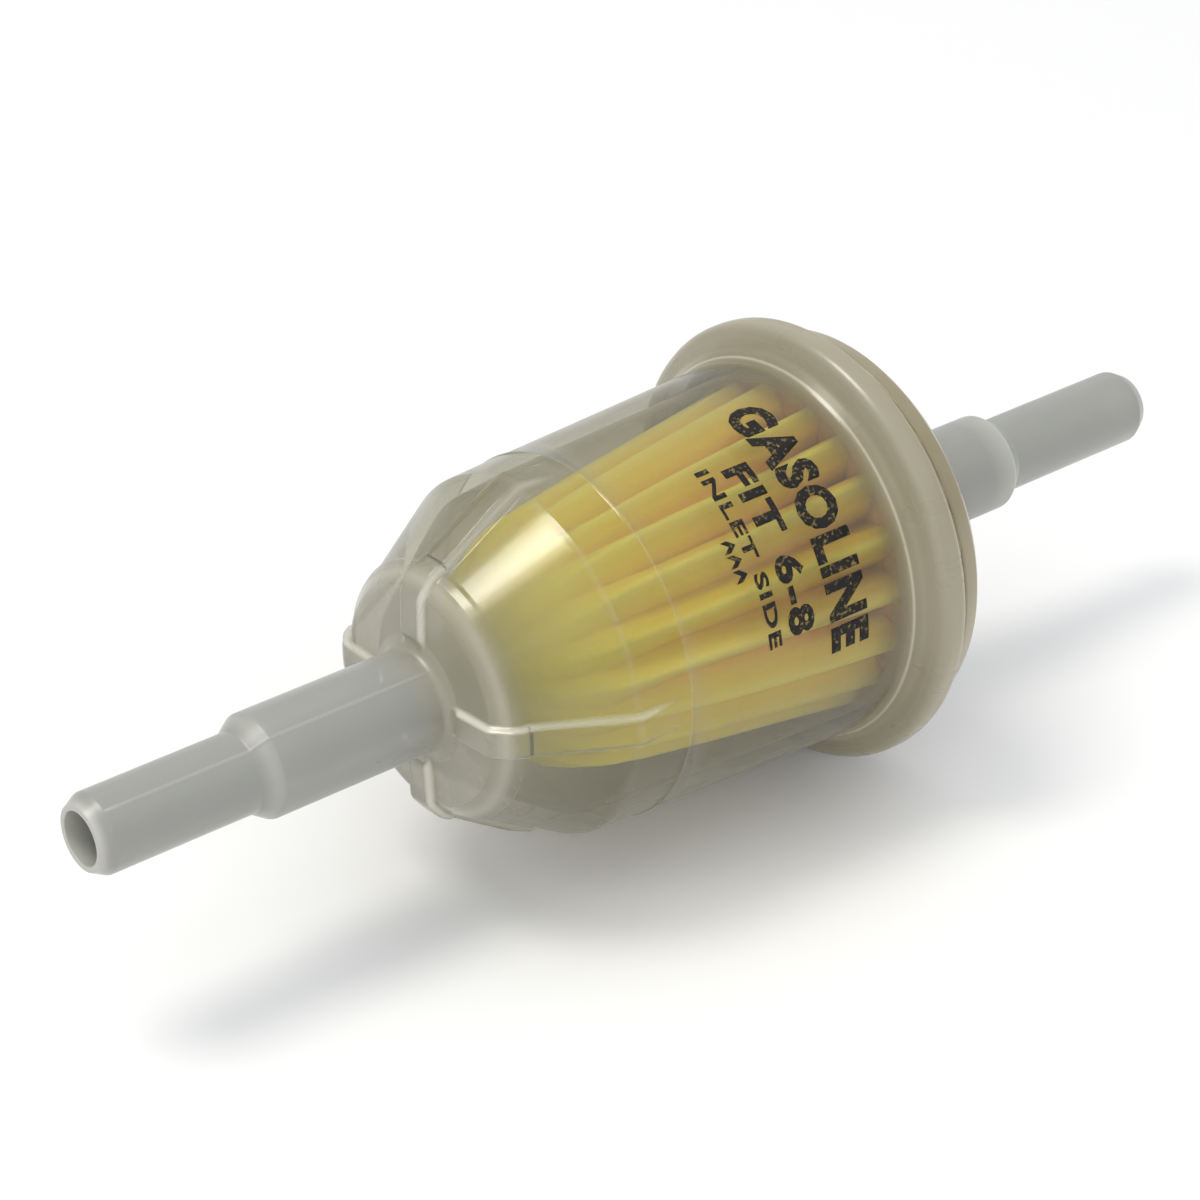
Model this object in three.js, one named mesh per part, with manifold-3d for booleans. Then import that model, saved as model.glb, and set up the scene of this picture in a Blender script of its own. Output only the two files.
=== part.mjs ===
// In-line fuel filter for a small engine, in millimetres. A clear two-piece plastic shell on one axis,
// +X from the inlet to the outlet, holds a pleated paper cone that is open at the outlet end.
// Each shell piece has a stepped hose spigot, for a 6 mm hose at the tip and an 8 mm hose behind it.
// A piece's own profile is drawn as [distance from the inlet tip, radius].

import * as THREE from "three";
import { mergeVertices } from "three/addons/utils/BufferGeometryUtils.js";
import Module from "manifold-3d";

const wasm = await Module();
wasm.setup();

const LENGTH = 104.3;
const GAP = 0.3;
const SHELL_SEGMENTS = 56;

// Stations along the axis, from the inlet tip.
const SPIGOT_STEP = 13.1;
const NOSE_FRONT = 29.0;
const POCKET_FRONT = 31.0;
const POCKET_REAR = 38.2;
const MOULD_LINE = 43.1;
const BODY_REAR = 63.9;
const FLANGE_REAR = 68.4;
const COVER_FRONT = FLANGE_REAR + GAP;
const COVER_BACK = 71.4;
const OUTLET_STEP = 88.6;

// Radii of the spigots and the shell.
const BORE_RADIUS = 2.05;
const SMALL_HOSE_RADIUS = 3.1;
const LARGE_HOSE_RADIUS = 4.03;
const TIP_RADIUS = 2.5;
const NOSE_FRONT_RADIUS = 9.1;
const BODY_FRONT_RADIUS = 14.2;
const BODY_REAR_RADIUS = 15.45;
const FLANGE_RADIUS = 18.2;
const COVER_RADIUS = 16.9;
const WALL = 1.25;

// Ribs on the nose cone, evenly spaced. The first one's angle is from the top towards the -Y side.
const RIBS = 4;
const FIRST_RIB = -1.8;
const RIB_WIDTH = 2.1;
const RIB_EDGE = 0.3;

// Weld between the two shell pieces: a ring of melted plastic in a groove in each of them.
const WELD_INNER = 15.1;
const WELD_OUTER = 16.1;
const WELD_DEPTH = 0.45;

// Pleated paper: one row for each station, [distance from the tip, ridge radius, depth of a pleat].
const PLEATS = 19;
const PAPER = 0.5;
const RIDGE_WIDTH = 0.7;
const VALLEY_WIDTH = 0.4;
const PACK = [
  [34.6, 2.6, 0.05],
  [35.2, 4.6, 0.2],
  [36.2, 6.4, 0.5],
  [38.1, 8.5, 1.2],
  [41.1, 10.1, 2.1],
  [45.1, 11.0, 2.7],
  [51.0, 11.9, 3.0],
  [57.0, 12.7, 3.3],
  [65.8, 13.9, 3.6],
];
const PACK_APEX = 34.2;
const PACK_REAR = PACK[PACK.length - 1][0];

const SEAL_INNER = 8.4;
const SEAL_OUTER = 13.9;
const BOSS_INNER = 6.6;
const BOSS_OUTER = SEAL_INNER - GAP;
const SEAM_WIDTH = 1.2;
const SEAM_HEIGHT = 0.4;

const clearPlastic = new THREE.MeshStandardMaterial({
  color: 0xb4b5a6,
  roughness: 0.25,
  metalness: 0,
  transparent: true,
  opacity: 0.4,
});
const coverPlastic = new THREE.MeshStandardMaterial({
  color: 0xb0a985,
  roughness: 0.3,
  metalness: 0,
  transparent: true,
  opacity: 0.6,
});
const paper = new THREE.MeshStandardMaterial({ color: 0xd9b544, roughness: 0.85, metalness: 0 });
const adhesive = new THREE.MeshStandardMaterial({ color: 0xa8702c, roughness: 0.4, metalness: 0 });

// Keeps only the positions of a geometry, with the vertices that coincide merged.
function merged(geometry) {
  const plain = geometry.clone();
  plain.deleteAttribute("normal");
  plain.deleteAttribute("uv");
  return mergeVertices(plain, 1e-4);
}

function toSolid(geometry) {
  const plain = merged(geometry);
  const index = plain.index.array;
  const triangles = [];
  for (let i = 0; i < index.length; i += 3) {
    const [a, b, c] = [index[i], index[i + 1], index[i + 2]];
    if (a !== b && b !== c && c !== a) {
      triangles.push(a, b, c);
    }
  }
  return new wasm.Manifold(
    new wasm.Mesh({
      numProp: 3,
      vertProperties: new Float32Array(plain.attributes.position.array),
      triVerts: new Uint32Array(triangles),
    }),
  );
}

function toGeometry(solid) {
  const mesh = solid.getMesh();
  const geometry = new THREE.BufferGeometry();
  geometry.setAttribute("position", new THREE.BufferAttribute(mesh.vertProperties, 3));
  geometry.setIndex(new THREE.BufferAttribute(mesh.triVerts, 1));
  geometry.computeVertexNormals();
  return geometry;
}

// A ring turned about the X axis. The profile runs towards +X on the outside and back on the inside.
function turned(profile, segments = SHELL_SEGMENTS) {
  const points = profile.map(([x, radius]) => new THREE.Vector2(radius, x));
  const onAxis = profile[0][1] === 0 && profile[profile.length - 1][1] === 0;
  if (!onAxis) {
    points.push(points[0].clone());
  }
  const geometry = new THREE.LatheGeometry(points, segments);
  geometry.rotateZ(-Math.PI / 2);
  return geometry;
}

// A flat blade that stands along the axis at an angle from +Z towards -Y, drawn as [x, radius].
function blade(outline, width, degrees, edge = 0) {
  const shape = new THREE.Shape(outline.map(([x, radius]) => new THREE.Vector2(x, radius)));
  const geometry = new THREE.ExtrudeGeometry(shape, {
    depth: width - 2 * edge,
    bevelEnabled: edge > 0,
    bevelThickness: edge,
    bevelSize: edge,
    bevelOffset: -edge,
    bevelSegments: 2,
  });
  geometry.translate(0, 0, edge - width / 2);
  geometry.rotateX(Math.PI / 2 + THREE.MathUtils.degToRad(degrees));
  return geometry;
}

// The nose half of the shell: spigot, ribbed nose cone, body and front flange in one moulding.
function inletHousing() {
  const outside = [
    [0, TIP_RADIUS],
    [0.35, TIP_RADIUS + 0.35],
    [1.1, SMALL_HOSE_RADIUS],
    [SPIGOT_STEP, SMALL_HOSE_RADIUS],
    [SPIGOT_STEP + 0.3, SMALL_HOSE_RADIUS + 0.15],
    [SPIGOT_STEP + 1.3, LARGE_HOSE_RADIUS - 0.1],
    [SPIGOT_STEP + 1.7, LARGE_HOSE_RADIUS],
    [NOSE_FRONT - 0.8, LARGE_HOSE_RADIUS],
    [NOSE_FRONT - 0.2, LARGE_HOSE_RADIUS + 0.25],
    [NOSE_FRONT, LARGE_HOSE_RADIUS + 0.8],
    [NOSE_FRONT + 0.25, NOSE_FRONT_RADIUS - 0.8],
    [NOSE_FRONT + 0.6, NOSE_FRONT_RADIUS],
    [NOSE_FRONT + 1.2, NOSE_FRONT_RADIUS + 0.55],
    [POCKET_FRONT - 0.1, NOSE_FRONT_RADIUS + 1.0],
    [POCKET_FRONT + 0.3, NOSE_FRONT_RADIUS + 0.95],
    [POCKET_REAR, BODY_FRONT_RADIUS - 0.15],
    [POCKET_REAR + 0.35, BODY_FRONT_RADIUS],
    [MOULD_LINE - 0.15, BODY_FRONT_RADIUS + 0.25],
    [MOULD_LINE - 0.05, BODY_FRONT_RADIUS + 0.35],
    [MOULD_LINE + 0.05, BODY_FRONT_RADIUS + 0.35],
    [MOULD_LINE + 0.15, BODY_FRONT_RADIUS + 0.25],
    [BODY_REAR, BODY_REAR_RADIUS],
    [BODY_REAR + 0.7, BODY_REAR_RADIUS + 0.25],
    [BODY_REAR + 1.0, BODY_REAR_RADIUS + 0.8],
    [BODY_REAR + 1.3, FLANGE_RADIUS - 1.4],
    [BODY_REAR + 1.7, FLANGE_RADIUS - 0.7],
    [BODY_REAR + 2.2, FLANGE_RADIUS - 0.2],
    [BODY_REAR + 2.8, FLANGE_RADIUS],
    [BODY_REAR + 3.4, FLANGE_RADIUS - 0.15],
    [FLANGE_REAR - 0.5, FLANGE_RADIUS - 0.7],
    [FLANGE_REAR, COVER_RADIUS],
    [FLANGE_REAR, WELD_OUTER + GAP],
    [FLANGE_REAR - WELD_DEPTH, WELD_OUTER + GAP],
    [FLANGE_REAR - WELD_DEPTH, WELD_INNER - GAP],
    [FLANGE_REAR, WELD_INNER - GAP],
  ];
  const inside = [
    [FLANGE_REAR, SEAL_OUTER + GAP + 0.1],
    [BODY_REAR, BODY_REAR_RADIUS - WALL],
    [MOULD_LINE, BODY_FRONT_RADIUS + 0.25 - WALL],
    [POCKET_REAR + 0.8, BODY_FRONT_RADIUS - WALL - 0.15],
    [POCKET_REAR, BODY_FRONT_RADIUS - WALL - 0.55],
    [POCKET_FRONT + 0.3, NOSE_FRONT_RADIUS - 1.45],
    [POCKET_FRONT - 0.3, NOSE_FRONT_RADIUS - 2.2],
    [POCKET_FRONT - 0.4, BORE_RADIUS + 0.4],
    [POCKET_FRONT - 0.8, BORE_RADIUS],
    [0, BORE_RADIUS],
  ];
  const ribOutline = [
    [NOSE_FRONT - 1.2, LARGE_HOSE_RADIUS - 0.7],
    [NOSE_FRONT - 0.6, LARGE_HOSE_RADIUS + 0.9],
    [NOSE_FRONT - 0.2, NOSE_FRONT_RADIUS - 0.2],
    [NOSE_FRONT + 0.3, NOSE_FRONT_RADIUS + 0.55],
    [NOSE_FRONT + 1.2, NOSE_FRONT_RADIUS + 1.2],
    [POCKET_REAR - 1.4, BODY_FRONT_RADIUS + 0.55],
    [POCKET_REAR, BODY_FRONT_RADIUS + 0.85],
    [MOULD_LINE - 0.9, BODY_FRONT_RADIUS + 0.1],
    [MOULD_LINE - 0.9, BODY_FRONT_RADIUS - 0.6],
    [POCKET_REAR, BODY_FRONT_RADIUS - 1.1],
    [POCKET_FRONT + 0.3, NOSE_FRONT_RADIUS - 0.7],
    [POCKET_FRONT - 0.9, NOSE_FRONT_RADIUS - 1.4],
    [POCKET_FRONT - 1.1, LARGE_HOSE_RADIUS - 0.7],
  ];
  let housing = toSolid(turned([...outside, ...inside]));
  for (let rib = 0; rib < RIBS; rib += 1) {
    const degrees = FIRST_RIB + (360 / RIBS) * rib;
    housing = housing.add(toSolid(blade(ribOutline, RIB_WIDTH, degrees, RIB_EDGE)));
  }
  return toGeometry(housing);
}

// The lid that closes the shell: a flange with the outlet spigot outside and a locating boss inside.
function outletCover() {
  return turned([
    [COVER_FRONT, WELD_OUTER + GAP],
    [COVER_FRONT, COVER_RADIUS],
    [COVER_FRONT + 0.3, COVER_RADIUS + 0.05],
    [COVER_BACK - 0.9, COVER_RADIUS - 0.65],
    [COVER_BACK - 0.25, COVER_RADIUS - 1.25],
    [COVER_BACK, COVER_RADIUS - 1.6],
    [COVER_BACK, LARGE_HOSE_RADIUS + 1.2],
    [COVER_BACK + 0.3, LARGE_HOSE_RADIUS + 0.5],
    [COVER_BACK + 0.9, LARGE_HOSE_RADIUS + 0.1],
    [COVER_BACK + 1.6, LARGE_HOSE_RADIUS],
    [OUTLET_STEP - 1.2, LARGE_HOSE_RADIUS],
    [OUTLET_STEP - 0.9, LARGE_HOSE_RADIUS - 0.12],
    [OUTLET_STEP - 0.2, SMALL_HOSE_RADIUS + 0.12],
    [OUTLET_STEP, SMALL_HOSE_RADIUS],
    [LENGTH - 1.1, SMALL_HOSE_RADIUS],
    [LENGTH - 0.35, TIP_RADIUS + 0.35],
    [LENGTH, TIP_RADIUS],
    [LENGTH, BORE_RADIUS],
    [COVER_FRONT + 0.9, BORE_RADIUS],
    [COVER_FRONT, BORE_RADIUS + 0.8],
    [COVER_FRONT, BOSS_INNER],
    [COVER_FRONT - 3.2, BOSS_INNER + 0.2],
    [COVER_FRONT - 3.4, BOSS_INNER + 0.5],
    [COVER_FRONT - 3.4, BOSS_OUTER - 0.4],
    [COVER_FRONT - 3.0, BOSS_OUTER],
    [COVER_FRONT, BOSS_OUTER],
    [COVER_FRONT, WELD_INNER - GAP],
    [COVER_FRONT + WELD_DEPTH, WELD_INNER - GAP],
    [COVER_FRONT + WELD_DEPTH, WELD_OUTER + GAP],
  ]);
}

function weldRing() {
  const front = FLANGE_REAR - WELD_DEPTH + GAP;
  const back = COVER_FRONT + WELD_DEPTH - GAP;
  return turned([
    [front, WELD_INNER],
    [front, WELD_OUTER],
    [back, WELD_OUTER],
    [back, WELD_INNER],
  ]);
}

// The points around one station of the pleated pack: a flat at each ridge and each valley.
function pleatRing(x, ridge, valley, ridgeWidth, valleyWidth) {
  const ring = [];
  const pitch = (2 * Math.PI) / PLEATS;
  for (let pleat = 0; pleat < PLEATS; pleat += 1) {
    const middle = pleat * pitch;
    const ridgeHalf = Math.min(ridgeWidth / 2 / ridge, pitch * 0.2);
    const valleyHalf = Math.min(valleyWidth / 2 / valley, pitch * 0.2);
    ring.push([x, ridge, middle - ridgeHalf]);
    ring.push([x, ridge, middle + ridgeHalf]);
    ring.push([x, valley, middle + pitch / 2 - valleyHalf]);
    ring.push([x, valley, middle + pitch / 2 + valleyHalf]);
  }
  return ring;
}

// How far the inside of the paper lies behind its outside at one station, as [along the axis, inwards].
function paperStep(i) {
  const before = i > 0 ? PACK[i - 1] : [PACK_APEX, 0];
  const after = PACK[Math.min(i + 1, PACK.length - 1)];
  const slope = Math.atan2(after[1] - before[1], after[0] - before[0]);
  return [PAPER * Math.sin(slope), PAPER * Math.cos(slope)];
}

// A closed skin through rings of [x, radius, angle] points, with a point on the axis at both ends.
function skinned(firstX, rings, lastX) {
  const count = rings[0].length;
  const positions = [firstX, 0, 0];
  for (const ring of rings) {
    for (const [x, radius, angle] of ring) {
      positions.push(x, -radius * Math.sin(angle), radius * Math.cos(angle));
    }
  }
  positions.push(lastX, 0, 0);
  const last = positions.length / 3 - 1;
  const index = [];
  for (let k = 0; k < count; k += 1) {
    const next = (k + 1) % count;
    index.push(0, 1 + next, 1 + k);
    for (let ring = 0; ring < rings.length - 1; ring += 1) {
      const a = 1 + ring * count + k;
      const b = 1 + ring * count + next;
      index.push(a, b, a + count);
      index.push(b, b + count, a + count);
    }
    index.push(last, last - count + k, last - count + next);
  }
  const geometry = new THREE.BufferGeometry();
  geometry.setAttribute("position", new THREE.Float32BufferAttribute(positions, 3));
  geometry.setIndex(index);
  geometry.computeVertexNormals();
  return geometry;
}

// The pleated cone: its small end is gathered shut towards the inlet, its wide end is open.
function filterPaper() {
  const outside = PACK.map(([x, ridge, depth]) =>
    pleatRing(x, ridge, ridge - depth, RIDGE_WIDTH, VALLEY_WIDTH),
  );
  const inside = PACK.map(([x, ridge, depth], i) => {
    const [along, inwards] = paperStep(i);
    const behindRidge = inwards + 0.12 * depth;
    const onRim = i === PACK.length - 1;
    const innerX = onRim ? x : x + along;
    return pleatRing(
      innerX,
      ridge - behindRidge,
      ridge - depth - inwards,
      0.3 * RIDGE_WIDTH,
      2.2 * VALLEY_WIDTH,
    );
  });
  return skinned(PACK_APEX, [...outside, ...inside.reverse()], PACK_APEX + PAPER);
}

// The bead of adhesive that joins the two ends of the paper strip, inside one valley.
function seamAdhesive() {
  const outer = PACK.slice(4).map(([x, ridge, depth]) => [
    x - 0.8,
    ridge - depth - PAPER - 2 * GAP,
  ]);
  const inner = outer.map(([x, radius]) => [x, radius - SEAM_HEIGHT]).reverse();
  const valleyAngle = 180 / PLEATS + (360 / PLEATS) * Math.floor(PLEATS * 0.6);
  return blade([...outer, ...inner], SEAM_WIDTH, valleyAngle);
}

// The drop of adhesive inside the gathered end of the paper.
function noseSeal() {
  return turned(
    [
      [PACK_APEX + 0.9, 0],
      [PACK_APEX + 1.15, 2.0],
      [PACK_APEX + 1.9, 3.8],
      [PACK_APEX + 2.7, 4.1],
      [PACK_APEX + 3.1, 3.4],
      [PACK_APEX + 3.2, 0],
    ],
    36,
  );
}

// The bed of adhesive that the wide end of the paper stands in, against the cover.
function baseSeal() {
  const front = PACK_REAR + GAP;
  const back = COVER_FRONT - GAP;
  return turned([
    [front, SEAL_INNER + 0.3],
    [front, SEAL_OUTER - 0.3],
    [front + 0.3, SEAL_OUTER],
    [back, SEAL_OUTER],
    [back, SEAL_INNER],
    [front + 0.3, SEAL_INNER],
  ]);
}

function named(name, geometry, material) {
  const mesh = new THREE.Mesh(geometry, material);
  mesh.name = name;
  return mesh;
}

const filter = new THREE.Group();
filter.add(named("inlet_housing", inletHousing(), clearPlastic));
filter.add(named("outlet_cover", outletCover(), coverPlastic));
filter.add(named("weld_ring", weldRing(), coverPlastic));
filter.add(named("filter_paper", filterPaper(), paper));
filter.add(named("seam_adhesive", seamAdhesive(), adhesive));
filter.add(named("nose_seal", noseSeal(), adhesive));
filter.add(named("base_seal", baseSeal(), adhesive));
filter.position.x = -LENGTH / 2;

export default filter;
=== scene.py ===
"""In-line fuel filter: a clear milky shell with a stepped hose spigot at each end, round a pleated
yellow paper cone.

Lengths are in millimetres unless a name says otherwise. A station is a distance along the axis from
the inlet tip. A profile is a list of (station, radius, fillet radius)."""

import math
import random

import bmesh
import bpy
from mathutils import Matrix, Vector


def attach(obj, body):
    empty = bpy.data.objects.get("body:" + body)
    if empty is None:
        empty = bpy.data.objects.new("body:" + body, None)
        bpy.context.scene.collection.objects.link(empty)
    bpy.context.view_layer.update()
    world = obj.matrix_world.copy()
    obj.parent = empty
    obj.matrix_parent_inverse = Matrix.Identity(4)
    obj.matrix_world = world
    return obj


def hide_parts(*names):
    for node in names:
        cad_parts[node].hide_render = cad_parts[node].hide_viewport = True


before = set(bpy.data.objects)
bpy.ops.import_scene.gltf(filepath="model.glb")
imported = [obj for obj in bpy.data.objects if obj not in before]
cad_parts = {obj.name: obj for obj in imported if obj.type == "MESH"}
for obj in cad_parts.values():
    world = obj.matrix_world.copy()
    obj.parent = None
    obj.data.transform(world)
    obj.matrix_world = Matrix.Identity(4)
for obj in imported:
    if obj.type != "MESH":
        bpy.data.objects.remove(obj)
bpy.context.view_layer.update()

MM = 0.001
LENGTH = 104.3
HALF = LENGTH / 2
BODY = "root"

# Stations and radii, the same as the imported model's.
SPIGOT_STEP = 13.1
NOSE_FRONT = 29.0
NOSE_FRONT_RADIUS = 9.1
CONE_FRONT = 31.3
CONE_REAR = 38.2
MOULD_LINE = 43.1
BODY_REAR = 63.9
FLANGE_REAR = 68.4
COVER_FRONT = 68.7
COVER_BACK = 71.4
OUTLET_STEP = 88.6
BORE = 2.05
SMALL_HOSE = 3.1
LARGE_HOSE = 4.03
BODY_FRONT_RADIUS = 14.2
BODY_REAR_RADIUS = 15.45
FLANGE_RADIUS = 18.2
COVER_RADIUS = 16.9
WALL = 1.25

# Ribs on the nose and the fine parting line on the inlet spigot. Angles are in degrees.
RIBS = 4
FIRST_RIB = -1.8
RIB_ANGLES = [FIRST_RIB + 360 / RIBS * rib for rib in range(RIBS)]
RIB_WIDTH = 2.4
RIB_LINE = 0.28
RIB_REAR = 42.5
FRONT_RIB_HEIGHT = 0.6
RIB_HEIGHTS = ((29.5, 0.62), (36.8, 1.0), (38.4, 0.85), (42.4, 0.0))
# Shares of the rib's width, from its middle: half its flat top, its sloping side, its pale line, a
# painted highlight along the rib's edge.
RIB_TOP = 0.38
RIB_SLOPE = 0.2
RIB_LINE_PLACE = 0.47
RIB_LINE_STRENGTH = 0.75
# The inside of the nose and body is where the radius is below this.
INSIDE_RADII = ((30, 9.0), (CONE_REAR, 13.4), (RIB_REAR, 13.8))
PARTING_ANGLE = 32.5
PARTING_WIDTH = 0.24
PARTING_HEIGHT = 0.05
# The parting line is also painted a little pale, a faint painted highlight along it.
PARTING_STRENGTH = 0.12

# What one face of the clear plastic lets through: seen directly, and on the way to a lamp. The second
# is higher, so that the paper inside is lit and the shadow on the floor stays soft.
SMOKE = (0.8, 0.785, 0.71)
LAMP_SMOKE = (0.93, 0.925, 0.91)
# How much more the plastic hides where it is seen at a slant, and at an edge.
SLANT_VEIL = 0.85
SLANT_POWER = 3.0
EDGE_VEIL = 0.5
STREAK_VEIL = 0.05
# The pale colour below is painted on the rib lines, the corner rings and the parting line: painted
# highlight lines where the clear edges catch the light.
EDGE_HIGHLIGHT_COLOUR = (0.62, 0.6, 0.52)
# How much it mirrors when seen straight on, and how much more at a slant.
STRAIGHT_SHINE = 0.05
GRAZING_SHINE = 0.35
GRAZING_POWER = 5.0

# Rings where the shell turns a corner: there it hides more and is painted pale, a painted highlight
# line. (station, lowest radius, reach, strength).
EDGE_RINGS = (
    (0.0, 2.0, 0.8, 0.35),
    (SPIGOT_STEP + 0.9, 3.0, 0.9, 0.15),
    (NOSE_FRONT + 1.0, 8.7, 0.6, 0.3),
    (CONE_REAR + 0.15, 13.6, 0.22, 0.4),
    (MOULD_LINE, 14.2, 0.16, 0.35),
    (BODY_REAR + 0.45, 15.3, 0.16, 0.55),
    (OUTLET_STEP - 1.3, 3.0, 0.35, 0.35),
    (LENGTH, 2.0, 0.8, 0.35),
)

# The pleated paper.
PLEATS = 19
PACK_APEX = 34.2
PACK_REAR = 66.0
PAPER = 0.45

rng = random.Random(7)


# ---------------------------------------------------------------- geometry helpers


def place(x, radius, angle):
    """A point x mm from the inlet tip, at a radius in mm and an angle from +Z towards -Y."""
    return Vector(
        (
            (x - HALF) * MM,
            -radius * MM * math.sin(angle),
            radius * MM * math.cos(angle),
        )
    )


def smooth(t):
    t = min(max(t, 0.0), 1.0)
    return t * t * (3 - 2 * t)


def ramp(x, points):
    """Straight-line interpolation through (x, value) points."""
    if x <= points[0][0]:
        return points[0][1]
    for (x0, y0), (x1, y1) in zip(points, points[1:]):
        if x <= x1:
            return y0 + (y1 - y0) * (x - x0) / (x1 - x0)
    return points[-1][1]


def filleted(corners, steps=4):
    """The closed profile through the corners, each rounded by its own fillet radius."""
    outline = []
    count = len(corners)
    for i, (x, radius, fillet) in enumerate(corners):
        here = Vector((x, radius))
        before = Vector(corners[i - 1][:2]) - here
        after = Vector(corners[(i + 1) % count][:2]) - here
        turn = before.angle(after) if fillet else math.pi
        if not fillet or turn > math.radians(176):
            outline.append(here)
            continue
        back = min(fillet / math.tan(turn / 2), before.length * 0.48, after.length * 0.48)
        start = here + before.normalized() * back
        end = here + after.normalized() * back
        for k in range(steps + 1):
            t = k / steps
            outline.append(start * (1 - t) ** 2 + here * 2 * t * (1 - t) + end * t * t)
    return outline


def divided(outline, spacing):
    """The closed outline with its long edges cut, so that none is longer than spacing(x) there."""
    points = []
    for i, a in enumerate(outline):
        b = outline[(i + 1) % len(outline)]
        cuts = max(1, math.ceil((b - a).length / spacing((a.x + b.x) / 2)))
        points += [a.lerp(b, k / cuts) for k in range(cuts)]
    return points


def normals(outline):
    """The outward normal at each point of a closed outline that runs towards +X on the outside."""
    found = []
    for i in range(len(outline)):
        along = outline[(i + 1) % len(outline)] - outline[i - 1]
        found.append(Vector((-along.y, along.x)).normalized())
    return found


def piece(name, material, slot, *nodes):
    """A new empty mesh object, which stands for CAD nodes if it is given any."""
    ob = bpy.data.objects.new(name, bpy.data.meshes.new(name))
    bpy.context.scene.collection.objects.link(ob)
    ob.data.materials.append(material)
    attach(ob, BODY)
    if nodes:
        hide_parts(*nodes)
    return ob


def store(ob, bm, oriented=False):
    """Puts the bmesh into the object. Its faces are turned outwards unless they already are."""
    if not oriented:
        bmesh.ops.recalc_face_normals(bm, faces=bm.faces)
    for face in bm.faces:
        face.smooth = True
    bm.to_mesh(ob.data)
    bm.free()


def revolve(bm, outline, angles, lift=None):
    """Turns a closed outline about the axis. lift(point, angle) gives how far the surface rises there
    along its normal, and how much of an edge it is, which the attribute "edge" keeps."""
    outward = normals(outline)
    edge = bm.verts.layers.float.new("edge")
    rings = []
    for angle in angles:
        ring = []
        for point, normal in zip(outline, outward):
            rise, sharpness = lift(point, angle) if lift else (0.0, 0.0)
            vert = bm.verts.new(place(*(point + normal * rise), angle))
            vert[edge] = sharpness
            ring.append(vert)
        rings.append(ring)
    for a, b in zip(rings, rings[1:] + rings[:1]):
        for k in range(len(outline)):
            n = (k + 1) % len(outline)
            bm.faces.new((a[k], b[k], b[n], a[n]))


def even_angles(count):
    return [2 * math.pi * k / count for k in range(count)]


# ---------------------------------------------------------------- shell


def rib_height(point):
    """How far a rib stands out of the nose at a point of the outside profile."""
    x, radius = point
    if x < NOSE_FRONT + 0.9 and radius < NOSE_FRONT_RADIUS:
        return FRONT_RIB_HEIGHT * smooth((radius - LARGE_HOSE - 0.3) / 1.2)
    return ramp(x, RIB_HEIGHTS)


def around(angle, degrees, radius):
    """Distance in mm, round the surface, from a line along the axis at the given angle."""
    off = (angle - math.radians(degrees) + math.pi) % (2 * math.pi) - math.pi
    return abs(off) * radius


def nose_ribs(point, angle):
    """Rise and sharpness of the ribs that stand on the nose."""
    x, radius = point
    if not NOSE_FRONT - 0.3 < x < RIB_REAR or radius < LARGE_HOSE + 0.3:
        return 0.0, 0.0
    if x > NOSE_FRONT + 1.0 and radius < ramp(x, INSIDE_RADII):
        return 0.0, 0.0
    height = rib_height(point)
    for rib in RIB_ANGLES:
        side = around(angle, rib, radius)
        if side < RIB_WIDTH:
            share = 1 - smooth((side - RIB_WIDTH * RIB_TOP) / (RIB_WIDTH * RIB_SLOPE))
            off_line = smooth(abs(side - RIB_WIDTH * RIB_LINE_PLACE) / RIB_LINE)
            line = RIB_LINE_STRENGTH - RIB_LINE_STRENGTH * off_line
            return height * share, line * min(1.0, height / FRONT_RIB_HEIGHT)
    return 0.0, 0.0


def parting_ridge(point, angle):
    """The fine raised line along the inlet spigot where the halves of the mould met."""
    x, radius = point
    if not 1.2 < x < NOSE_FRONT - 0.8 or radius < BORE + 0.6:
        return 0.0, 0.0
    side = min(around(angle, PARTING_ANGLE, radius), around(angle, PARTING_ANGLE + 180, radius))
    share = 1 - smooth(side / PARTING_WIDTH)
    return PARTING_HEIGHT * share, PARTING_STRENGTH * share


def ring_edges(point):
    """How much the shell is an edge at a point of its outside profile, whatever the angle."""
    x, radius = point
    found = 0.0
    for at, lowest, reach, strength in EDGE_RINGS:
        if radius > lowest:
            found = max(found, strength * (1 - smooth(abs(x - at) / reach)))
    return found


def shell_surface(point, angle):
    rib, rib_edge = nose_ribs(point, angle)
    ridge, ridge_edge = parting_ridge(point, angle)
    return rib + ridge, max(rib_edge, ridge_edge, ring_edges(point))


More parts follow.
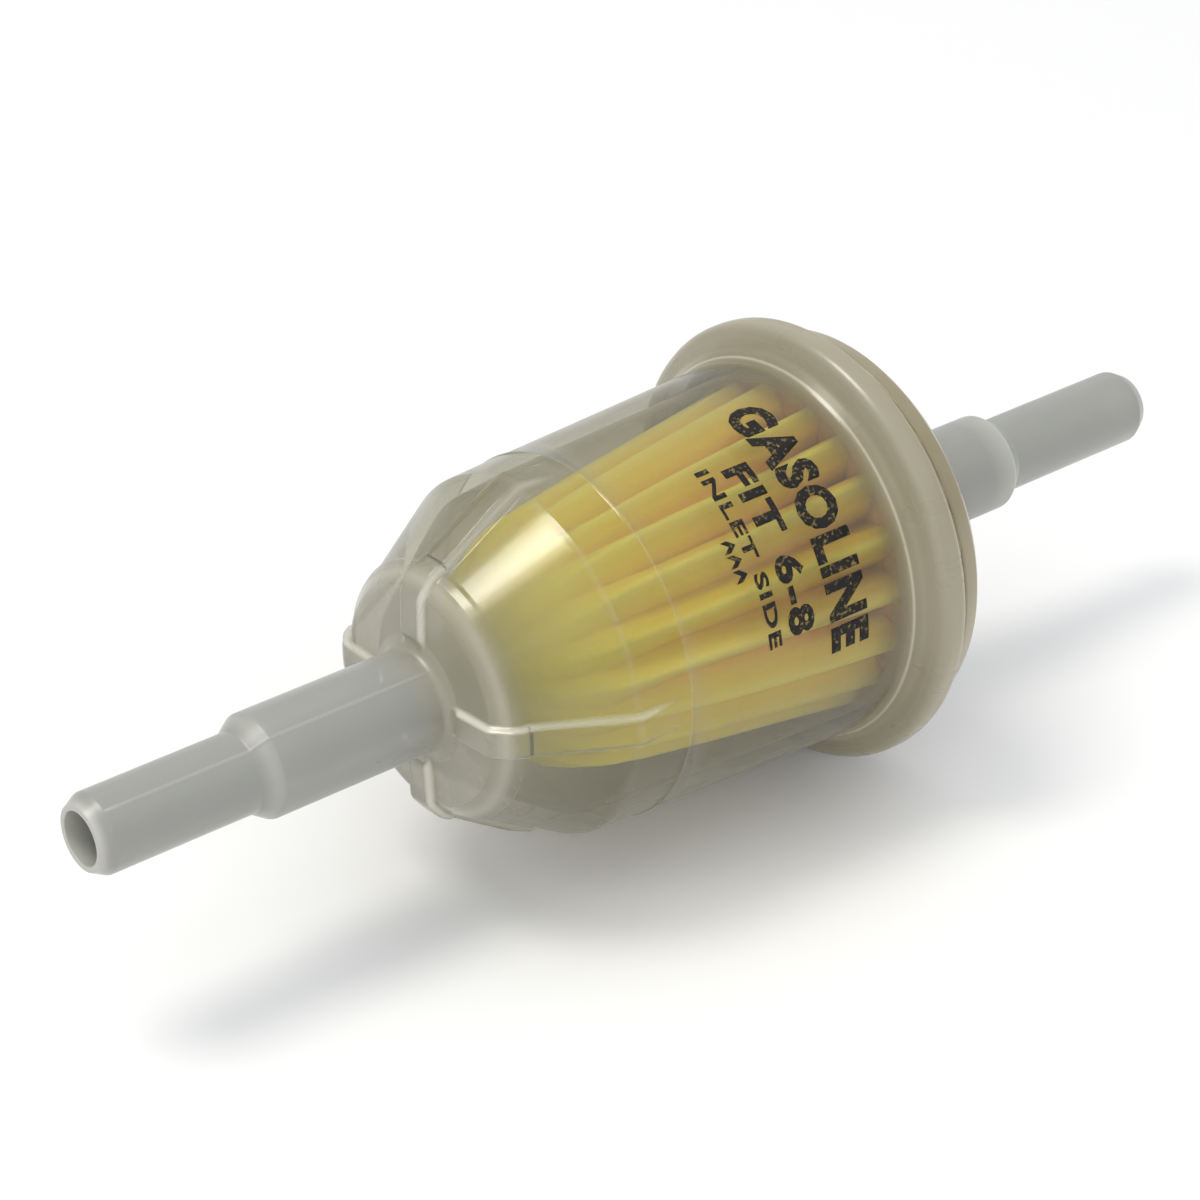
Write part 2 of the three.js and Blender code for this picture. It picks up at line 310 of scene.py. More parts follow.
def housing_outline():
    corners = (
        (0.0, 2.5, 0.1),
        (1.1, SMALL_HOSE, 0.5),
        (SPIGOT_STEP, SMALL_HOSE, 0.4),
        (SPIGOT_STEP + 1.4, LARGE_HOSE, 0.5),
        (NOSE_FRONT - 0.3, LARGE_HOSE, 0.8),
        (NOSE_FRONT + 0.1, LARGE_HOSE + 1.0, 0.6),
        (NOSE_FRONT + 0.25, NOSE_FRONT_RADIUS - 0.5, 0.7),
        (NOSE_FRONT + 1.3, NOSE_FRONT_RADIUS + 0.65, 0.7),
        (CONE_FRONT - 0.4, NOSE_FRONT_RADIUS + 1.0, 0.15),
        (CONE_FRONT, NOSE_FRONT_RADIUS + 0.95, 0.15),
        (CONE_REAR, BODY_FRONT_RADIUS - 0.17, 0.1),
        (CONE_REAR + 0.3, BODY_FRONT_RADIUS, 0.2),
        (MOULD_LINE - 0.16, BODY_FRONT_RADIUS + 0.25, 0),
        (MOULD_LINE - 0.06, BODY_FRONT_RADIUS + 0.36, 0.05),
        (MOULD_LINE + 0.06, BODY_FRONT_RADIUS + 0.36, 0.05),
        (MOULD_LINE + 0.16, BODY_FRONT_RADIUS + 0.25, 0),
        (BODY_REAR + 0.2, BODY_REAR_RADIUS, 1.0),
        (BODY_REAR + 1.1, FLANGE_RADIUS - 1.9, 0.9),
        (BODY_REAR + 1.8, FLANGE_RADIUS - 0.1, 1.0),
        (BODY_REAR + 3.6, FLANGE_RADIUS - 0.1, 1.0),
        (FLANGE_REAR, COVER_RADIUS, 0.3),
        (FLANGE_REAR, 14.4, 0.1),
        (BODY_REAR, BODY_REAR_RADIUS - WALL, 0.4),
        (MOULD_LINE, BODY_FRONT_RADIUS + 0.25 - WALL, 0),
        (CONE_REAR + 0.8, BODY_FRONT_RADIUS - WALL - 0.15, 0.8),
        (CONE_FRONT, NOSE_FRONT_RADIUS - 1.4, 0.6),
        (CONE_FRONT - 0.6, NOSE_FRONT_RADIUS - 2.2, 0.5),
        (CONE_FRONT - 0.7, BORE + 0.5, 0.3),
        (CONE_FRONT - 1.1, BORE, 0.3),
        (0.0, BORE, 0.1),
    )
    return divided(filleted(corners), spacing)


def spacing(x):
    """Longest edge allowed in the profile at a station, in mm."""
    if NOSE_FRONT - 0.5 < x < MOULD_LINE - 0.5:
        return 0.35
    near = min(abs(x - ring[0]) for ring in EDGE_RINGS)
    return 0.2 if near < 1.0 else 2.5


def housing_angles():
    """Angles round the shell, closer together where the ribs are."""
    fine = {round(k * 3.0, 3) for k in range(120)}
    for rib in RIB_ANGLES:
        fine |= {round((rib + k * 0.5) % 360, 3) for k in range(-13, 14)}
        fine |= {round((rib + k * 1.0) % 360, 3) for k in range(-16, 17)}
    for line in (PARTING_ANGLE, PARTING_ANGLE + 180):
        fine |= {round(line + k * 0.9, 3) for k in range(-7, 8)}
    kept = []
    for degrees in sorted(fine):
        if not kept or degrees - kept[-1] > 0.2:
            kept.append(degrees)
    return [math.radians(d) for d in kept]


def make_housing(material):
    ob = piece("shell_inlet", material, "housing_plastic", "inlet_housing")
    bm = bmesh.new()
    revolve(bm, housing_outline(), housing_angles(), shell_surface)
    store(ob, bm)


def make_cover(material):
    corners = (
        (COVER_FRONT, COVER_RADIUS, 0.25),
        (COVER_BACK - 0.9, COVER_RADIUS - 0.6, 0.5),
        (COVER_BACK, COVER_RADIUS - 1.5, 0.5),
        (COVER_BACK, LARGE_HOSE + 0.9, 0.9),
        (COVER_BACK + 1.5, LARGE_HOSE, 0.9),
        (OUTLET_STEP - 1.3, LARGE_HOSE, 0.4),
        (OUTLET_STEP, SMALL_HOSE, 0.4),
        (LENGTH - 1.1, SMALL_HOSE, 0.5),
        (LENGTH, 2.5, 0.1),
        (LENGTH, BORE, 0.1),
        (COVER_FRONT + 0.7, BORE, 0.4),
        (COVER_FRONT, BORE + 0.8, 0.2),
        (COVER_FRONT, 6.6, 0.3),
        (COVER_FRONT - 3.4, 6.9, 0.2),
        (COVER_FRONT - 3.4, 7.9, 0.3),
        (COVER_FRONT, 8.1, 0.2),
    )
    ob = piece("shell_outlet", material, "cover_plastic", "outlet_cover")
    bm = bmesh.new()
    revolve(bm, divided(filleted(corners), spacing), housing_angles(), shell_surface)
    store(ob, bm)


def make_weld(material):
    ob = piece("weld_bead", material, "weld_plastic", "weld_ring")
    bm = bmesh.new()
    corners = (
        (FLANGE_REAR - 0.02, 15.2, 0),
        (FLANGE_REAR - 0.02, COVER_RADIUS - 0.12, 0.1),
        (COVER_FRONT + 0.02, COVER_RADIUS - 0.1, 0.1),
        (COVER_FRONT + 0.02, 15.2, 0),
    )
    outline = filleted(corners, 3)

    def ripple(point, angle):
        rise = 0.05 * math.sin(37 * angle) * math.sin(11 * angle)
        return (rise if point.y > 16 else 0.0), 0.0

    revolve(bm, outline, even_angles(240), ripple)
    store(ob, bm)


# ---------------------------------------------------------------- paper and adhesive

# Radius of the pleats' ridges and how deep the valleys are below them, by station.
RIDGE = (
    (PACK_APEX, 0.0),
    (34.35, 1.6),
    (34.6, 2.7),
    (35.2, 4.6),
    (36.2, 6.4),
    (37.1, 7.6),
    (38.1, 8.5),
    (39.5, 9.4),
    (41.1, 10.1),
    (45.1, 11.0),
    (51.0, 11.9),
    (57.0, 12.7),
    (PACK_REAR, 13.9),
)
DEPTH = (
    (PACK_APEX, 0.0),
    (36.2, 0.08),
    (38.1, 0.25),
    (40.0, 0.7),
    (42.5, 1.6),
    (46.0, 2.4),
    (51.0, 2.7),
    (57.0, 2.9),
    (PACK_REAR, 3.1),
)


PAPER_NOSE_END = 36.2
NOSE_STATIONS = 10
BODY_STATIONS = 42
PAPER_STEPS = 14
ADHESIVE_STEPS = 10
FOLD_SOFTNESS = 0.006
WRINKLE = 0.07
SWAY = 0.012
MENISCUS = 0.7
ADHESIVE_RADII = (13.9, 13.7, 13.3, 12.7, 12.0, 11.3, 10.6, 10.0, 9.4, 8.9, 8.6, 8.4)


def pleat_table():
    """One row for each pleat: its own turn, ridge height and lean, so that no two are quite alike."""
    return [
        (rng.uniform(-0.035, 0.035), rng.uniform(-0.35, 0.1), rng.uniform(-0.03, 0.05))
        for _ in range(PLEATS)
    ]


def fold(phase):
    """Height of the paper across one pleat, 0 in the valley and 1 on the ridge."""
    from_ridge = abs(phase - 0.5) * 2
    return 1 - math.sqrt(from_ridge**2 + FOLD_SOFTNESS) / math.sqrt(1 + FOLD_SOFTNESS)


def paper_point(x, turn, table, inward=0.0):
    """Radius, angle and fold height of the paper at a station, turn pleats round from the top."""
    index = int(turn) % PLEATS
    phase = turn - int(turn)
    height = fold(phase)
    spin, tall, lean = table[index]
    ridge = ramp(x, RIDGE)
    depth = ramp(x, DEPTH)
    wide = smooth((x - 38) / 8)
    crest = ridge + tall * wide * height
    wrinkle = WRINKLE * math.sin(x * 1.9 + index * 2.1) * smooth((x - 35) / 2) * (1 - wide)
    radius = crest - depth * (1 - height) + wrinkle - inward
    shift = (spin + lean * height) * wide * 4 * phase * (1 - phase)
    sway = SWAY * math.sin(x * 0.21 + index * 1.7) * wide
    angle = 2 * math.pi * turn / PLEATS + shift + sway * 4 * phase * (1 - phase)
    return max(radius, 0.02), angle, height


def make_paper(material):
    ob = piece("pleated_paper", material, "filter_paper", "filter_paper")
    bm = bmesh.new()
    # Each point keeps its fold height, from which the paper's material paints shade into the valleys
    # and highlights onto the ridges.
    fold_shading = bm.verts.layers.float.new("fold")
    table = pleat_table()
    turns = [k / PAPER_STEPS for k in range(PLEATS * PAPER_STEPS)]
    stations = [PACK_APEX + 0.1 + 1.9 * (k / NOSE_STATIONS) ** 1.6 for k in range(NOSE_STATIONS)]
    length = PACK_REAR - PAPER_NOSE_END
    stations += [PAPER_NOSE_END + length * k / BODY_STATIONS for k in range(BODY_STATIONS + 1)]

    def ring(x, inward, along):
        made = []
        for turn in turns:
            radius, angle, height = paper_point(x, turn, table, inward)
            vert = bm.verts.new(place(x + along, radius, angle))
            vert[fold_shading] = height
            made.append(vert)
        return made

    def steepness(x):
        return math.atan2(ramp(x + 0.3, RIDGE) - ramp(x - 0.3, RIDGE), 0.6)

    outer = [ring(x, 0.0, 0.0) for x in stations]
    inner = []
    for x in reversed(stations):
        slope = steepness(x)
        along = PAPER * math.sin(slope) if x < PACK_REAR - 1 else 0.0
        inner.append(ring(x, PAPER * math.cos(slope) + 0.35 * smooth((x - 38) / 6), along))
    rings = outer + inner
    for a, b in zip(rings, rings[1:]):
        for k in range(len(turns)):
            n = (k + 1) % len(turns)
            bm.faces.new((a[k], a[n], b[n], b[k]))
    for end, x in ((outer[0], PACK_APEX), (inner[-1], PACK_APEX + PAPER)):
        tip = bm.verts.new(place(x, 0.0, 0.0))
        for k in range(len(turns)):
            bm.faces.new((tip, end[k], end[(k + 1) % len(turns)]))
    store(ob, bm)


def make_base_seal(material):
    """The adhesive stands a little way up between the pleats, highest in the valleys."""
    ob = piece("base_adhesive", material, "adhesive", "base_seal")
    bm = bmesh.new()
    turns = [k / ADHESIVE_STEPS for k in range(PLEATS * ADHESIVE_STEPS)]

    def front(radius, turn):
        height = fold(turn - int(turn))
        meniscus = MENISCUS * smooth((13.3 - radius) / 1.5) * smooth((radius - 9.2) / 1.2)
        return PACK_REAR + 0.1 - meniscus * (1 - 0.75 * height)

    rings = []
    for turn in turns:
        angle = 2 * math.pi * turn / PLEATS
        back = COVER_FRONT - 0.1
        profile = [(back, ADHESIVE_RADII[-1]), (back, ADHESIVE_RADII[0])]
        profile += [(front(radius, turn), radius) for radius in ADHESIVE_RADII]
        rings.append([bm.verts.new(place(x, radius, angle)) for x, radius in profile])
    for a, b in zip(rings, rings[1:] + rings[:1]):
        for k in range(len(a)):
            n = (k + 1) % len(a)
            bm.faces.new((a[k], b[k], b[n], a[n]))
    store(ob, bm)


def keep_node(name, material):
    """A CAD node whose shape is right stays, with a material of its own."""
    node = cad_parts[name]
    for slot in node.material_slots:
        slot.material = material


# ---------------------------------------------------------------- print

# Each row of print: text, station, angle, letter height, angle that it spans, boldness.
PRINT_HEIGHT = 0.03
PRINT_WELD = 0.008
PRINT_ROWS = (
    ("GASOLINE", 58.2, 48.4, 3.7, 81.0, 0.05),
    ("FIT 6-8", 53.8, 52.5, 2.5, 53.0, 0.04),
    ("INLET SIDE", 51.15, 51.7, 1.2, 57.0, 0.03),
)
CHEVRONS = 3
CHEVRON_SIZE = (0.95, 1.2)
CHEVRON_PITCH = 1.15
CHEVRON_PLACE = (49.6, 52.0)


def body_radius(x):
    front = (MOULD_LINE, BODY_FRONT_RADIUS + 0.25)
    return ramp(x, (front, (BODY_REAR + 0.2, BODY_REAR_RADIUS)))


def wrap_print(bm, centre_x, centre_degrees):
    """Bends flat lettering round the body. Its lines run round, and its tops face the flange."""
    for vert in bm.verts:
        x = centre_x + vert.co.y
        radius = body_radius(x) + 0.01 + vert.co.z
        angle = math.radians(centre_degrees) + vert.co.x / body_radius(x)
        vert.co = place(x, radius, angle)


def slice_flat(bm, step=0.5):
    """Cuts flat lettering into narrow strips, so that it can follow the round of the body."""
    low = min(v.co.x for v in bm.verts)
    high = max(v.co.x for v in bm.verts)
    for k in range(1, int((high - low) / step) + 1):
        geometry = bm.verts[:] + bm.edges[:] + bm.faces[:]
        cut = Vector((low + (k - 0.37) * step, 0, 0))
        bmesh.ops.bisect_plane(bm, geom=geometry, plane_co=cut, plane_no=(1, 0, 0))
    bmesh.ops.remove_doubles(bm, verts=bm.verts, dist=PRINT_WELD)
    bmesh.ops.dissolve_degenerate(bm, dist=PRINT_WELD, edges=bm.edges)
    bmesh.ops.triangulate(bm, faces=bm.faces)
    loose = [edge for edge in bm.edges if not edge.link_faces]
    bmesh.ops.delete(bm, geom=loose, context="EDGES")


def thicken(bm, height):
    """Gives flat lettering a thin closed body. It is tall while its faces are turned outwards, because
    that goes wrong on thin shapes."""
    found = bmesh.ops.extrude_face_region(bm, geom=bm.faces[:])
    tops = [v for v in found["geom"] if isinstance(v, bmesh.types.BMVert)]
    for vert in tops:
        vert.co.z = 10.0
    bmesh.ops.recalc_face_normals(bm, faces=bm.faces)
    for vert in tops:
        vert.co.z = height


def lettering(text, height, arc_mm, weight):
    """A bmesh of flat letters, centred, height mm tall and arc_mm long."""
    curve = bpy.data.curves.new("lettering", "FONT")
    curve.body = text
    curve.size = 1.0
    curve.offset = weight
    curve.space_character = 1.12
    curve.resolution_u = 3
    holder = bpy.data.objects.new("lettering", curve)
    bpy.context.scene.collection.objects.link(holder)
    bpy.context.view_layer.update()
    mesh = bpy.data.meshes.new_from_object(holder.evaluated_get(bpy.context.evaluated_depsgraph_get()))
    bm = bmesh.new()
    bm.from_mesh(mesh)
    bpy.data.objects.remove(holder)
    bpy.data.curves.remove(curve)
    bpy.data.meshes.remove(mesh)
    bmesh.ops.remove_doubles(bm, verts=bm.verts, dist=1e-5)
    xs = [v.co.x for v in bm.verts]
    ys = [v.co.y for v in bm.verts]
    for vert in bm.verts:
        vert.co.x = ((vert.co.x - min(xs)) / (max(xs) - min(xs)) - 0.5) * arc_mm
        vert.co.y = ((vert.co.y - min(ys)) / (max(ys) - min(ys)) - 0.5) * height
    return bm


def chevrons():
    """A bmesh of a flat row of chevrons, centred, that point the way the fuel flows."""
    width, height = CHEVRON_SIZE
    outline = ((-0.5, -0.5), (0.0, 0.0), (0.5, -0.5), (0.5, 0.0), (0.0, 0.5), (-0.5, 0.0))
    bm = bmesh.new()
    for k in range(CHEVRONS):
        middle = (k - (CHEVRONS - 1) / 2) * CHEVRON_PITCH
        corners = [(middle + x * width, y * height, 0) for x, y in outline]
        bm.faces.new([bm.verts.new(corner) for corner in corners])
    return bm


def in_order(bm):
    """The same shape in a new bmesh, with its points and faces in an order that never varies."""
    corners = sorted(bm.verts, key=lambda vert: tuple(vert.co))
    number = {vert: k for k, vert in enumerate(corners)}
    loops = []
    for face in bm.faces:
        loop = [number[vert] for vert in face.verts]
        first = loop.index(min(loop))
        loops.append(loop[first:] + loop[:first])
    fresh = bmesh.new()
    fixed = [fresh.verts.new(vert.co) for vert in corners]
    for loop in sorted(loops):
        fresh.faces.new([fixed[k] for k in loop])
    bm.free()
    return fresh


def make_print(material):
    drawn = [(chevrons(), *CHEVRON_PLACE)]
    for text, x, degrees, height, arc, weight in PRINT_ROWS:
        arc_mm = math.radians(arc) * body_radius(x)
        drawn.append((lettering(text, height, arc_mm, weight), x, degrees))
    for number, (bm, x, degrees) in enumerate(drawn):
        slice_flat(bm)
        thicken(bm, PRINT_HEIGHT)
        wrap_print(bm, x, degrees)
        ob = piece(f"print_{number + 1}", material, "housing_plastic")
        store(ob, in_order(bm), oriented=True)


# ---------------------------------------------------------------- materials


class Nodes:
    """A material's node tree, with short calls for its nodes."""

    def __init__(self, name):
        self.material = bpy.data.materials.new(name)
        self.material.use_nodes = True
        self.tree = self.material.node_tree
        self.tree.nodes.clear()
        self.out = self.add("ShaderNodeOutputMaterial")

    def add(self, kind, **settings):
        node = self.tree.nodes.new(kind)
        for key, value in settings.items():
            setattr(node, key, value)
        return node

    def link(self, source, target):
        self.tree.links.new(source, target)

    def math(self, operation, a, b=None, clamp=False):
        node = self.add("ShaderNodeMath", operation=operation, use_clamp=clamp)
        for socket, value in zip(node.inputs, (a, b)):
            if value is None:
                continue
            if isinstance(value, (int, float)):
                socket.default_value = value
            else:
                self.link(value, socket)
        return node.outputs[0]

    def position(self):
        return self.add("ShaderNodeTexCoord").outputs["Object"]

    def noise(self, scale, detail=3.0, stretch=None, roughness=0.55):
        node = self.add("ShaderNodeTexNoise")
        node.inputs["Scale"].default_value = scale
        node.inputs["Detail"].default_value = detail
        node.inputs["Roughness"].default_value = roughness
        source = self.position()
        if stretch:
            mapping = self.add("ShaderNodeMapping")
            mapping.inputs["Scale"].default_value = stretch
            self.link(source, mapping.inputs["Vector"])
            source = mapping.outputs[0]
        self.link(source, node.inputs["Vector"])
        return node.outputs["Fac"]

    def curve(self, source, points):
        """Maps a value through (position 0 to 1, value or colour) stops."""
        node = self.add("ShaderNodeValToRGB")
        ramp_stops = node.color_ramp.elements
        while len(ramp_stops) < len(points):
            ramp_stops.new(0.5)
        for stop, (at, value) in zip(ramp_stops, points):
            stop.position = at
            colour = (value,) * 3 if isinstance(value, (int, float)) else value
            stop.color = (*colour, 1.0)
        self.link(source, node.inputs[0])
        return node.outputs[0]

    def by_station(self, points):
        """Values or colours set at distances from the inlet tip."""
        split = self.add("ShaderNodeSeparateXYZ")
        self.link(self.position(), split.inputs[0])
        spread = self.add("ShaderNodeMapRange")
        spread.inputs["From Min"].default_value = -HALF * MM
        spread.inputs["From Max"].default_value = HALF * MM
        self.link(split.outputs["X"], spread.inputs["Value"])
        return self.curve(spread.outputs[0], [(x / LENGTH, value) for x, value in points])

    def mix(self, factor, a, b, blend="MIX"):
        node = self.add("ShaderNodeMix", data_type="RGBA", blend_type=blend)
        for socket, value in ((node.inputs[0], factor), (node.inputs[6], a), (node.inputs[7], b)):
            if isinstance(value, (int, float)):
                socket.default_value = value
            elif isinstance(value, tuple):
                socket.default_value = (*value, 1.0)
            else:
                self.link(value, socket)
        return node.outputs[2]

    def bump(self, height, strength, distance):
        node = self.add("ShaderNodeBump")
        node.inputs["Strength"].default_value = strength
        node.inputs["Distance"].default_value = distance
        self.link(height, node.inputs["Height"])
        return node.outputs[0]

    def blend_shaders(self, factor, first, second):
        node = self.add("ShaderNodeMixShader")
        if isinstance(factor, (int, float)):
            node.inputs[0].default_value = factor
        else:
            self.link(factor, node.inputs[0])
        self.link(first, node.inputs[1])
        self.link(second, node.inputs[2])
        return node.outputs[0]


def clear_plastic(name, solidness, tints, haze):
    """Milky plastic. Three things are set along the axis: how much it hides what is behind it, its own
    colour, and how blurred its reflections are."""
    n = Nodes(name)
    edge = n.add("ShaderNodeAttribute", attribute_name="edge").outputs["Fac"]
    streaks = n.noise(260.0, 3.0, (0.25, 1.0, 1.0))
    colour = n.mix(n.math("MULTIPLY", streaks, 0.2), n.by_station(tints), (0.3, 0.29, 0.24))
    # Where the edge attribute is high the colour turns pale: painted highlight lines at the rib edges,
    # the corner rings and the parting line.
    colour = n.mix(n.math("MULTIPLY", edge, 0.7), colour, EDGE_HIGHLIGHT_COLOUR)
    skin = n.bump(n.noise(900.0, 2.0), 0.1, 0.0001)
    body = n.add("ShaderNodeBsdfPrincipled")
    body.inputs["IOR"].default_value = 1.5
    n.link(n.curve(streaks, ((0.3, 0.25), (0.7, 0.4))), body.inputs["Roughness"])
    n.link(colour, body.inputs["Base Color"])
    n.link(skin, body.inputs["Normal"])
    window = n.add("ShaderNodeBsdfTransparent")
    lamp = n.add("ShaderNodeLightPath").outputs["Is Shadow Ray"]
    n.link(n.mix(lamp, SMOKE, LAMP_SMOKE), window.inputs["Color"])
    own = n.math("ADD", n.by_station(solidness), n.math("MULTIPLY", streaks, STREAK_VEIL))
    facing = n.add("ShaderNodeLayerWeight")
    facing.inputs["Blend"].default_value = 0.5
    slant = n.math("POWER", facing.outputs["Facing"], SLANT_POWER)
    slanted = n.math("MULTIPLY", slant, SLANT_VEIL)
    own = n.math("ADD", own, slanted)
    solid = n.math("ADD", own, n.math("MULTIPLY", edge, EDGE_VEIL), clamp=True)
    veiled = n.blend_shaders(solid, window.outputs[0], body.outputs[0])
    gloss = n.add("ShaderNodeBsdfGlossy")
    n.link(n.by_station(haze), gloss.inputs["Roughness"])
    n.link(skin, gloss.inputs["Normal"])
    grazing = n.math("POWER", facing.outputs["Facing"], GRAZING_POWER)
    mirrored = n.math("ADD", n.math("MULTIPLY", grazing, GRAZING_SHINE), STRAIGHT_SHINE)
    shine = n.blend_shaders(mirrored, veiled, gloss.outputs[0])
    n.link(shine, n.out.inputs["Surface"])
    return n.material


def paper_material():
    n = Nodes("filter_paper")
    height = n.add("ShaderNodeAttribute", attribute_name="fold").outputs["Fac"]
    # Across each pleat the colour runs by fold height from valley to flank to ridge. The darker valleys
    # are painted shade, darkest towards the flange, where the deep brown also stands for adhesive; the
    # paler ridges are painted highlights. Towards the nose all three turn greener, a painted stand-in
    # for the reflection veil over the window.
    ridge = n.by_station(((34, (0.84, 0.77, 0.05)), (41, (0.92, 0.83, 0.07)), (46, (1.0, 0.9, 0.16))))
    flank = n.by_station(((34, (0.84, 0.77, 0.04)), (42, (0.92, 0.77, 0.02)), (66, (0.95, 0.66, 0.01))))
    valley = n.by_station(
        (
            (34, (0.82, 0.75, 0.04)),
            (42, (0.88, 0.66, 0.02)),
            (55, (0.85, 0.5, 0.01)),
            (60, (0.7, 0.32, 0.005)),
            (64, (0.3, 0.09, 0.004)),
        )
    )
    colour = n.mix(n.curve(height, ((0.03, 0.0), (0.45, 1.0))), valley, flank)
    colour = n.mix(n.curve(height, ((0.6, 0.0), (0.92, 1.0))), colour, ridge)
    fibres = n.noise(2600.0, 4.0, (0.5, 1.0, 1.0), 0.65)
    clouds = n.noise(170.0, 2.0)
    colour = n.mix(n.math("MULTIPLY", fibres, 0.1), colour, (0.98, 0.9, 0.35))
    colour = n.mix(n.curve(clouds, ((0.4, 0.0), (0.75, 0.2))), colour, (0.72, 0.52, 0.04))
    shader = n.add("ShaderNodeBsdfPrincipled")
    shader.inputs["IOR"].default_value = 1.4
    shader.inputs["Sheen Weight"].default_value = 0.1
    n.link(colour, shader.inputs["Base Color"])
    n.link(n.curve(fibres, ((0.3, 0.72), (0.7, 0.9))), shader.inputs["Roughness"])
    n.link(n.bump(fibres, 0.3, 0.0002), shader.inputs["Normal"])
    n.link(shader.outputs[0], n.out.inputs["Surface"])
    return n.material


def adhesive_material():
    n = Nodes("amber_adhesive")
    depth = n.noise(420.0, 4.0)
    colour = n.curve(depth, ((0.3, (0.42, 0.17, 0.03)), (0.7, (0.72, 0.4, 0.1))))
    shader = n.add("ShaderNodeBsdfPrincipled")
    shader.inputs["IOR"].default_value = 1.5
    n.link(colour, shader.inputs["Base Color"])
    n.link(n.curve(depth, ((0.3, 0.22), (0.7, 0.42))), shader.inputs["Roughness"])
    n.link(n.bump(depth, 0.3, 0.0003), shader.inputs["Normal"])
    n.link(shader.outputs[0], n.out.inputs["Surface"])
    return n.material


def ink_material():
    n = Nodes("stamped_ink")
    specks = n.noise(3200.0, 2.0)
    colour = n.curve(specks, ((0.56, (0.012, 0.011, 0.01)), (0.68, (0.13, 0.1, 0.04))))
    shader = n.add("ShaderNodeBsdfPrincipled")
    shader.inputs["Specular IOR Level"].default_value = 0.15
    n.link(colour, shader.inputs["Base Color"])
    n.link(n.curve(specks, ((0.4, 0.45), (0.7, 0.75))), shader.inputs["Roughness"])
    n.link(n.bump(specks, 0.3, 0.0001), shader.inputs["Normal"])
    n.link(shader.outputs[0], n.out.inputs["Surface"])
    return n.material


def floor_material():
    n = Nodes("studio_floor")
    grain = n.noise(3.0, 2.0)
    colour = n.curve(grain, ((0.3, (0.66, 0.66, 0.66)), (0.7, (0.7, 0.7, 0.695))))
    shader = n.add("ShaderNodeBsdfPrincipled")
    shader.inputs["Roughness"].default_value = 0.8
    n.link(colour, shader.inputs["Base Color"])
    n.link(shader.outputs[0], n.out.inputs["Surface"])
    return n.material


# ---------------------------------------------------------------- studio


CAMERA_METRES = (-0.15295, -0.17672, 0.13353)
CAMERA_LOOKING = (0.5556, 0.6668, -0.4967)
LENS = 105
SENSOR = 36
FLOOR_RADII_METRES = ((0.6, 0.0), (1.2, 0.0), (1.6, 0.05), (1.9, 0.2), (2.1, 0.5), (2.2, 1.0))
FLOOR_COLUMNS = 48
FLOOR_GAP = 0.05
WORLD_COLOUR = (0.95, 0.97, 1.0)
WORLD_STRENGTH = 0.85


def make_camera():
    data = bpy.data.cameras.new("camera")
    data.lens = LENS
    data.sensor_width = SENSOR
    data.clip_start = 0.01
    camera = bpy.data.objects.new("camera", data)
    bpy.context.scene.collection.objects.link(camera)
    camera.location = CAMERA_METRES
    looking = Vector(CAMERA_LOOKING)
    camera.rotation_mode = "QUATERNION"
    camera.rotation_quaternion = looking.to_track_quat("-Z", "Y")
    bpy.context.scene.camera = camera


def make_light(name, direction, distance, size, radiance, colour, mirrored):
    """A flat panel that faces the object, with its width level. Only a mirrored one shows in gloss."""
    data = bpy.data.lights.new(name, "AREA")
    data.shape = "RECTANGLE"
    data.size, data.size_y = size
    data.energy = radiance * math.pi * size[0] * size[1]
    data.color = colour
    light = bpy.data.objects.new(name, data)
    bpy.context.scene.collection.objects.link(light)
    light.visible_glossy = mirrored
    light.location = Vector(direction).normalized() * distance
    light.rotation_mode = "QUATERNION"
    light.rotation_quaternion = Vector(direction).to_track_quat("Z", "Y")


def make_floor(material):
    """A floor under the flange that turns up into a backdrop, on every side but far away."""
    mesh = bpy.data.meshes.new("floor")
    ob = bpy.data.objects.new("floor", mesh)
    bpy.context.scene.collection.objects.link(ob)
    bm = bmesh.new()
    level = -(FLANGE_RADIUS + FLOOR_GAP) * MM
    made = []
    for radius, rise in FLOOR_RADII_METRES:
        ring = []
        for angle in even_angles(FLOOR_COLUMNS):
            across = (radius * math.cos(angle), radius * math.sin(angle))
            ring.append(bm.verts.new((*across, level + rise)))
        made.append(ring)
    middle = bm.verts.new((0, 0, level))
    for k in range(FLOOR_COLUMNS):
        n = (k + 1) % FLOOR_COLUMNS
        bm.faces.new((middle, made[0][k], made[0][n]))
        for a, b in zip(made, made[1:]):
            bm.faces.new((a[k], b[k], b[n], a[n]))
    for face in bm.faces:
        face.smooth = True
    bm.to_mesh(mesh)
    bm.free()
    mesh.materials.append(material)


def make_world():
    world = bpy.data.worlds.new("studio")
    bpy.context.scene.world = world
    world.use_nodes = True
    background = world.node_tree.nodes["Background"]
    background.inputs["Color"].default_value = (*WORLD_COLOUR, 1.0)
    background.inputs["Strength"].default_value = WORLD_STRENGTH


# Panel lights: name, direction, distance, size, radiance, colour, whether gloss mirrors it.
WHITE = (1, 1, 1)
LIGHTS = (
    ("softbox", (-0.376, 0.152, 0.914), 0.55, (0.165, 0.22), 12.0, (1.0, 0.97, 0.88), True),
    ("ceiling", (0.1, 0.0, 1.0), 1.3, (1.8, 1.8), 0.8, WHITE, False),
    ("fill", (-0.6, -0.8, 0.25), 1.2, (1.3, 1.1), 2.3, WHITE, False),
    ("side", (0.8, -0.7, 0.1), 1.2, (1.0, 1.0), 1.2, WHITE, False),
)

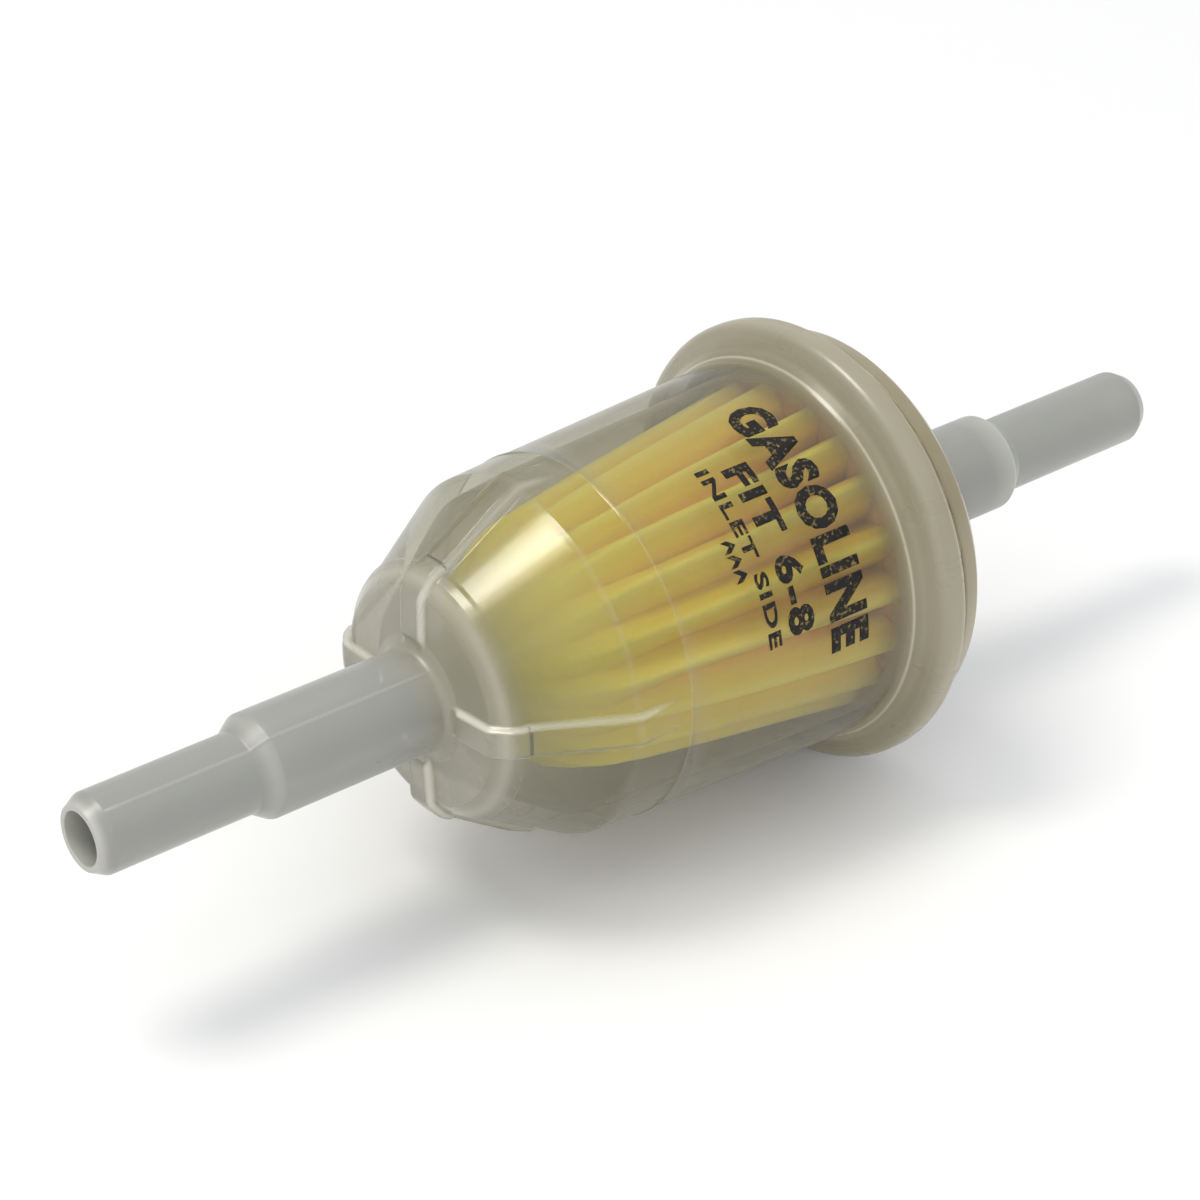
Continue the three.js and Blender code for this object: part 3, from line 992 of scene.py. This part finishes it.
# The plastics, by station: how much they hide, their colour, and how blurred their reflections are.
SPIGOT_GREY = (0.23, 0.235, 0.218)
COVER_AMBER = (0.22, 0.18, 0.09)
HOUSING_SOLIDNESS = (
    (0, 0.78),
    (27, 0.74),
    (29.2, 0.6),
    (30.4, 0.35),
    (31.8, 0.14),
    (37, 0.1),
    (42, 0.05),
    (61.5, 0.03),
    (63.2, 0.13),
    (64.2, 0.45),
    (65.5, 0.75),
    (67, 0.82),
    (68, 0.75),
)
HOUSING_TINTS = (
    (0, SPIGOT_GREY),
    (26, SPIGOT_GREY),
    (29, (0.28, 0.265, 0.21)),
    (33, (0.24, 0.24, 0.19)),
    (40, (0.25, 0.245, 0.19)),
    (62, (0.25, 0.235, 0.16)),
    (64, (0.28, 0.24, 0.13)),
    (65.8, (0.28, 0.255, 0.18)),
    (67.2, (0.25, 0.22, 0.14)),
    (68.2, (0.22, 0.17, 0.08)),
)
HOUSING_HAZE = ((0, 0.5), (27, 0.5), (30, 0.2), (62, 0.16), (66, 0.3))
COVER_SOLIDNESS = ((60, 0.7), (71, 0.7), (74, 0.76), (104, 0.78))
COVER_TINTS = ((60, COVER_AMBER), (71.5, COVER_AMBER), (74, SPIGOT_GREY), (104, SPIGOT_GREY))
COVER_HAZE = ((60, 0.35), (72, 0.35), (76, 0.45))
WELD_SOLIDNESS = ((60, 0.75), (80, 0.75))
WELD_TINTS = ((60, COVER_AMBER), (80, COVER_AMBER))
WELD_HAZE = ((60, 0.3), (80, 0.3))

make_camera()
make_world()
make_floor(floor_material())
for light in LIGHTS:
    make_light(*light)

shell = clear_plastic("milky_housing", HOUSING_SOLIDNESS, HOUSING_TINTS, HOUSING_HAZE)
lid = clear_plastic("milky_cover", COVER_SOLIDNESS, COVER_TINTS, COVER_HAZE)
weld = clear_plastic("weld_plastic", WELD_SOLIDNESS, WELD_TINTS, WELD_HAZE)
adhesive = adhesive_material()
make_housing(shell)
make_cover(lid)
make_weld(weld)
make_paper(paper_material())
make_base_seal(adhesive)
keep_node("nose_seal", adhesive)
keep_node("seam_adhesive", adhesive)
make_print(ink_material())

bpy.context.scene.view_settings.view_transform = "Standard"
